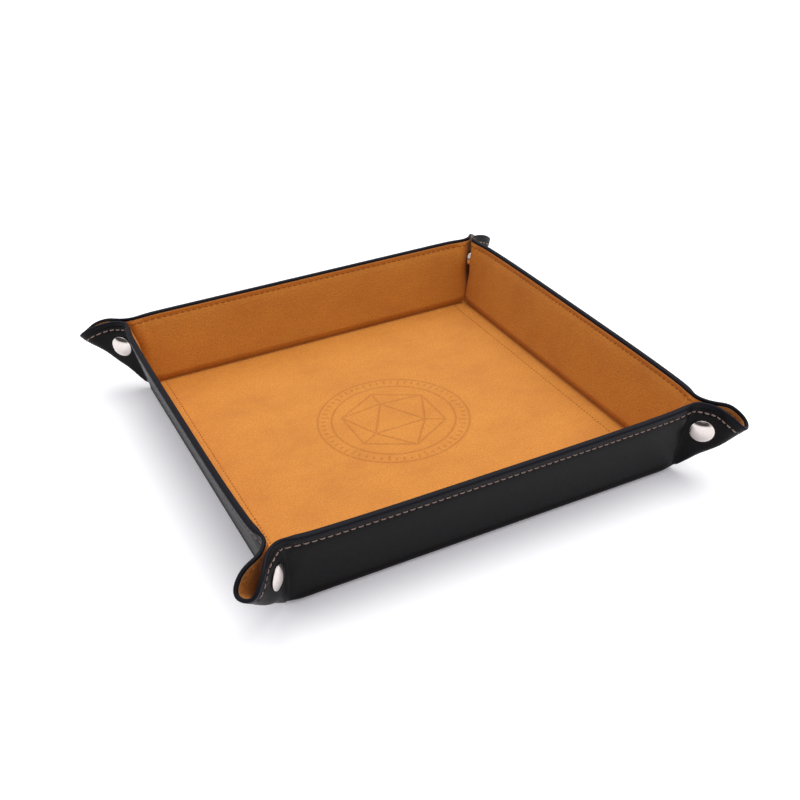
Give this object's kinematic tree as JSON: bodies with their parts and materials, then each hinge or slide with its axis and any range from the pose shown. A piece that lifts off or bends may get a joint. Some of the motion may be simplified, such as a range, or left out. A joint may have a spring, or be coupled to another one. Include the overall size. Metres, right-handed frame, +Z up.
{
  "type": "folding dice tray",
  "caption": "Square leatherette tray whose four creased walls fold flat. Each corner is pinched into an ear that a snap fastener holds closed.",
  "frame": {"origin": "middle of the underside, on the surface the tray stands on", "axes": "+Z up out of the tray; X and Y along its sides, right wall at +X and back wall at +Y"},
  "size_m": [0.2742, 0.2742, 0.0438],
  "materials": {
    "black_cover": "fine grained satin leatherette",
    "tan_lining": "smooth mottled matte leatherette",
    "board": "grey stiffener board",
    "seam_thread": "twisted sewing thread",
    "snap_metal": "polished nickel plate"
  },
  "bodies": {
    "base": {"base_cover": "black_cover", "base_lining": "tan_lining", "base_board": "board", "base_thread": "seam_thread"},
    "right_wall": {"right_wall_cover": "black_cover", "right_wall_lining": "tan_lining", "right_wall_board": "board", "right_wall_thread": "seam_thread"},
    "back_wall": {"back_wall_cover": "black_cover", "back_wall_lining": "tan_lining", "back_wall_board": "board", "back_wall_thread": "seam_thread"},
    "left_wall": {"left_wall_cover": "black_cover", "left_wall_lining": "tan_lining", "left_wall_board": "board", "left_wall_thread": "seam_thread"},
    "front_wall": {"front_wall_cover": "black_cover", "front_wall_lining": "tan_lining", "front_wall_board": "board", "front_wall_thread": "seam_thread"},
    "back_right_ear_right": {"back_right_ear_cover_right": "black_cover", "back_right_ear_lining_right": "tan_lining", "back_right_cap_right": "snap_metal", "back_right_socket": "snap_metal"},
    "back_right_crown_right": {"back_right_fold_right": "black_cover"},
    "back_right_ear_back": {"back_right_ear_cover_back": "black_cover", "back_right_ear_lining_back": "tan_lining", "back_right_cap_back": "snap_metal", "back_right_stud": "snap_metal"},
    "back_right_crown_back": {"back_right_fold_back": "black_cover"},
    "back_left_ear_back": {"back_left_ear_cover_back": "black_cover", "back_left_ear_lining_back": "tan_lining", "back_left_cap_back": "snap_metal", "back_left_socket": "snap_metal"},
    "back_left_crown_back": {"back_left_fold_back": "black_cover"},
    "back_left_ear_left": {"back_left_ear_cover_left": "black_cover", "back_left_ear_lining_left": "tan_lining", "back_left_cap_left": "snap_metal", "back_left_stud": "snap_metal"},
    "back_left_crown_left": {"back_left_fold_left": "black_cover"},
    "front_left_ear_left": {"front_left_ear_cover_left": "black_cover", "front_left_ear_lining_left": "tan_lining", "front_left_cap_left": "snap_metal", "front_left_socket": "snap_metal"},
    "front_left_crown_left": {"front_left_fold_left": "black_cover"},
    "front_left_ear_front": {"front_left_ear_cover_front": "black_cover", "front_left_ear_lining_front": "tan_lining", "front_left_cap_front": "snap_metal", "front_left_stud": "snap_metal"},
    "front_left_crown_front": {"front_left_fold_front": "black_cover"},
    "front_right_ear_front": {"front_right_ear_cover_front": "black_cover", "front_right_ear_lining_front": "tan_lining", "front_right_cap_front": "snap_metal", "front_right_socket": "snap_metal"},
    "front_right_crown_front": {"front_right_fold_front": "black_cover"},
    "front_right_ear_right": {"front_right_ear_cover_right": "black_cover", "front_right_ear_lining_right": "tan_lining", "front_right_cap_right": "snap_metal", "front_right_stud": "snap_metal"},
    "front_right_crown_right": {"front_right_fold_right": "black_cover"}
  },
  "joints": [
    {"name": "right_wall_fold", "type": "hinge", "parent": "base", "child": "right_wall", "pos_m": [0.1072, 0, 0.0018], "axis": [0, 1, 0], "range_deg": [0, 74.5]},
    {"name": "back_wall_fold", "type": "hinge", "parent": "base", "child": "back_wall", "pos_m": [0, 0.1072, 0.0018], "axis": [-1, 0, 0], "range_deg": [0, 74.5]},
    {"name": "left_wall_fold", "type": "hinge", "parent": "base", "child": "left_wall", "pos_m": [-0.1072, 0, 0.0018], "axis": [0, -1, 0], "range_deg": [0, 74.5]},
    {"name": "front_wall_fold", "type": "hinge", "parent": "base", "child": "front_wall", "pos_m": [0, -0.1072, 0.0018], "axis": [1, 0, 0], "range_deg": [0, 74.5]},
    {"name": "back_right_ear_right_bend", "type": "hinge", "parent": "right_wall", "child": "back_right_ear_right", "pos_m": [0.1072, 0.1072, 0.0018], "axis": [0.2327, 0.078, 0.9694], "range_deg": [0, 50.71]},
    {"name": "back_right_crown_right_bend", "type": "hinge", "parent": "back_right_ear_right", "child": "back_right_crown_right", "pos_m": [0.1072, 0.1072, 0.0018], "axis": [-0.5846, -0.4889, -0.6474], "range_deg": [0, 88.16]},
    {"name": "back_right_ear_back_bend", "type": "hinge", "parent": "back_wall", "child": "back_right_ear_back", "pos_m": [0.1072, 0.1072, 0.0018], "axis": [-0.078, -0.2327, -0.9694], "range_deg": [0, 50.71]},
    {"name": "back_right_crown_back_bend", "type": "hinge", "parent": "back_right_ear_back", "child": "back_right_crown_back", "pos_m": [0.1072, 0.1072, 0.0018], "axis": [0.4889, 0.5846, 0.6474], "range_deg": [0, 88.16]},
    {"name": "back_left_ear_back_bend", "type": "hinge", "parent": "back_wall", "child": "back_left_ear_back", "pos_m": [-0.1072, 0.1072, 0.0018], "axis": [-0.078, 0.2327, 0.9694], "range_deg": [0, 50.71]},
    {"name": "back_left_crown_back_bend", "type": "hinge", "parent": "back_left_ear_back", "child": "back_left_crown_back", "pos_m": [-0.1072, 0.1072, 0.0018], "axis": [0.4889, -0.5846, -0.6474], "range_deg": [0, 88.16]},
    {"name": "back_left_ear_left_bend", "type": "hinge", "parent": "left_wall", "child": "back_left_ear_left", "pos_m": [-0.1072, 0.1072, 0.0018], "axis": [0.2327, -0.078, -0.9694], "range_deg": [0, 50.71]},
    {"name": "back_left_crown_left_bend", "type": "hinge", "parent": "back_left_ear_left", "child": "back_left_crown_left", "pos_m": [-0.1072, 0.1072, 0.0018], "axis": [-0.5846, 0.4889, 0.6474], "range_deg": [0, 88.16]},
    {"name": "front_left_ear_left_bend", "type": "hinge", "parent": "left_wall", "child": "front_left_ear_left", "pos_m": [-0.1072, -0.1072, 0.0018], "axis": [-0.2327, -0.078, 0.9694], "range_deg": [0, 50.71]},
    {"name": "front_left_crown_left_bend", "type": "hinge", "parent": "front_left_ear_left", "child": "front_left_crown_left", "pos_m": [-0.1072, -0.1072, 0.0018], "axis": [0.5846, 0.4889, -0.6474], "range_deg": [0, 88.16]},
    {"name": "front_left_ear_front_bend", "type": "hinge", "parent": "front_wall", "child": "front_left_ear_front", "pos_m": [-0.1072, -0.1072, 0.0018], "axis": [0.078, 0.2327, -0.9694], "range_deg": [0, 50.71]},
    {"name": "front_left_crown_front_bend", "type": "hinge", "parent": "front_left_ear_front", "child": "front_left_crown_front", "pos_m": [-0.1072, -0.1072, 0.0018], "axis": [-0.4889, -0.5846, 0.6474], "range_deg": [0, 88.16]},
    {"name": "front_right_ear_front_bend", "type": "hinge", "parent": "front_wall", "child": "front_right_ear_front", "pos_m": [0.1072, -0.1072, 0.0018], "axis": [0.078, -0.2327, 0.9694], "range_deg": [0, 50.71]},
    {"name": "front_right_crown_front_bend", "type": "hinge", "parent": "front_right_ear_front", "child": "front_right_crown_front", "pos_m": [0.1072, -0.1072, 0.0018], "axis": [-0.4889, 0.5846, -0.6474], "range_deg": [0, 88.16]},
    {"name": "front_right_ear_right_bend", "type": "hinge", "parent": "right_wall", "child": "front_right_ear_right", "pos_m": [0.1072, -0.1072, 0.0018], "axis": [-0.2327, 0.078, -0.9694], "range_deg": [0, 50.71]},
    {"name": "front_right_crown_right_bend", "type": "hinge", "parent": "front_right_ear_right", "child": "front_right_crown_right", "pos_m": [0.1072, -0.1072, 0.0018], "axis": [0.5846, -0.4889, 0.6474], "range_deg": [0, 88.16]}
  ],
  "couplings": [
    {"joint": "back_wall_fold", "follows": "right_wall_fold", "ratio": 1},
    {"joint": "left_wall_fold", "follows": "right_wall_fold", "ratio": 1},
    {"joint": "front_wall_fold", "follows": "right_wall_fold", "ratio": 1},
    {"joint": "back_right_ear_right_bend", "follows": "right_wall_fold", "ratio": 0.68022},
    {"joint": "back_right_crown_right_bend", "follows": "right_wall_fold", "ratio": 1.183},
    {"joint": "back_right_ear_back_bend", "follows": "right_wall_fold", "ratio": 0.68022},
    {"joint": "back_right_crown_back_bend", "follows": "right_wall_fold", "ratio": 1.183},
    {"joint": "back_left_ear_back_bend", "follows": "right_wall_fold", "ratio": 0.68022},
    {"joint": "back_left_crown_back_bend", "follows": "right_wall_fold", "ratio": 1.183},
    {"joint": "back_left_ear_left_bend", "follows": "right_wall_fold", "ratio": 0.68022},
    {"joint": "back_left_crown_left_bend", "follows": "right_wall_fold", "ratio": 1.183},
    {"joint": "front_left_ear_left_bend", "follows": "right_wall_fold", "ratio": 0.68022},
    {"joint": "front_left_crown_left_bend", "follows": "right_wall_fold", "ratio": 1.183},
    {"joint": "front_left_ear_front_bend", "follows": "right_wall_fold", "ratio": 0.68022},
    {"joint": "front_left_crown_front_bend", "follows": "right_wall_fold", "ratio": 1.183},
    {"joint": "front_right_ear_front_bend", "follows": "right_wall_fold", "ratio": 0.68022},
    {"joint": "front_right_crown_front_bend", "follows": "right_wall_fold", "ratio": 1.183},
    {"joint": "front_right_ear_right_bend", "follows": "right_wall_fold", "ratio": 0.68022},
    {"joint": "front_right_crown_right_bend", "follows": "right_wall_fold", "ratio": 1.183}
  ]
}
